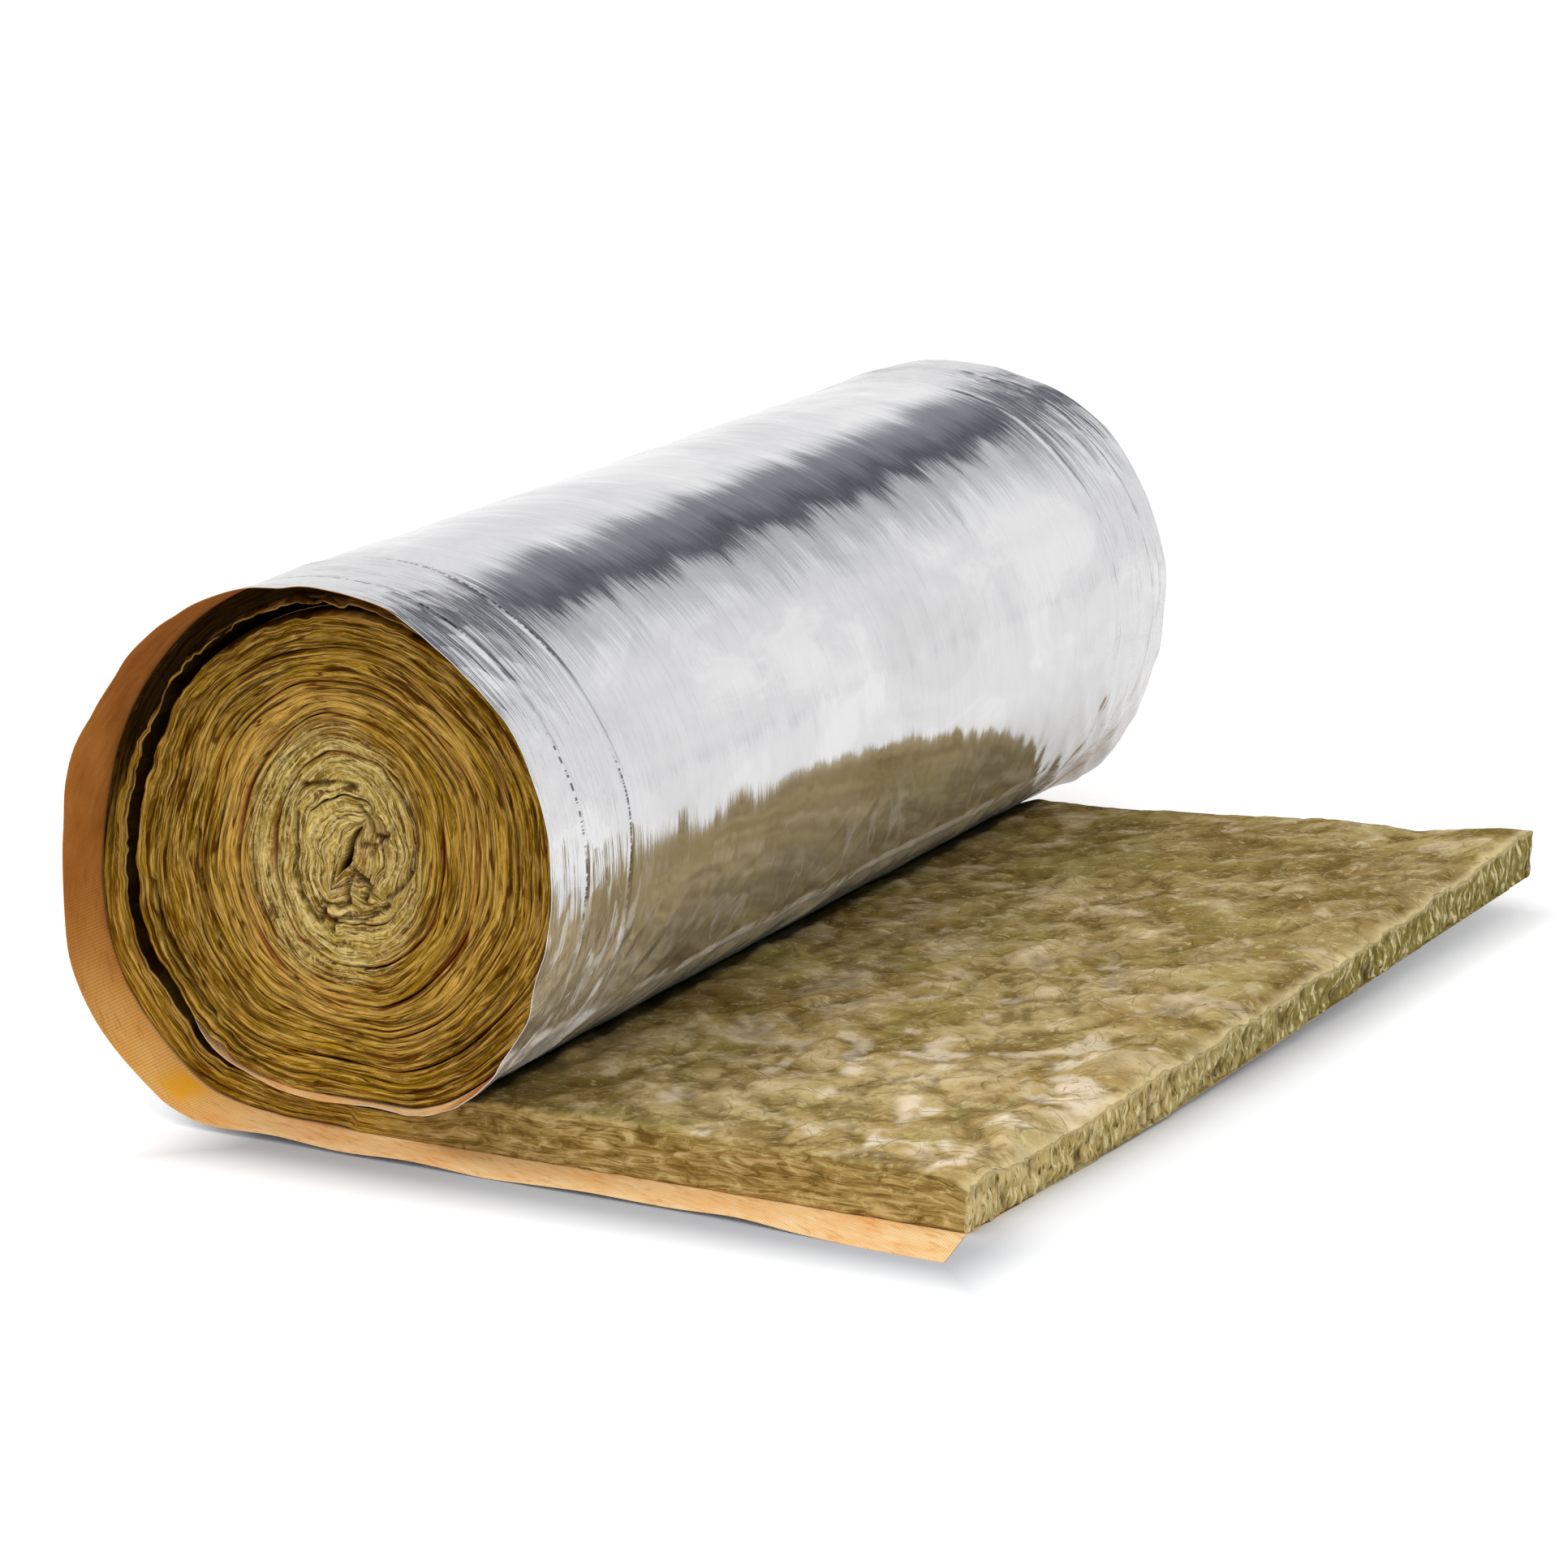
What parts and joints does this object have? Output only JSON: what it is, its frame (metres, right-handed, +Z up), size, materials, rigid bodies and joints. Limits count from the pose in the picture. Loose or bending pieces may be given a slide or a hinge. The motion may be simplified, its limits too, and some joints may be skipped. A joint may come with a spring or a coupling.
{
  "type": "insulation roll",
  "caption": "Partly unrolled stone wool blanket faced with foil-kraft laminate, with a stapling flange along each edge, lying on its own tail.",
  "frame": {"origin": "on the floor, under the roll's axis, at the middle of the blanket's width", "axes": "+Y along the roll's axis, +X from the roll towards the end of the tail, +Z up"},
  "size_m": [0.7628, 1.1, 0.4092],
  "materials": {
    "stone_wool": "matte",
    "foil_kraft": "satin"
  },
  "bodies": {
    "root": {"wool_blanket": "stone_wool", "foil_facing": "foil_kraft"}
  },
  "joints": []
}
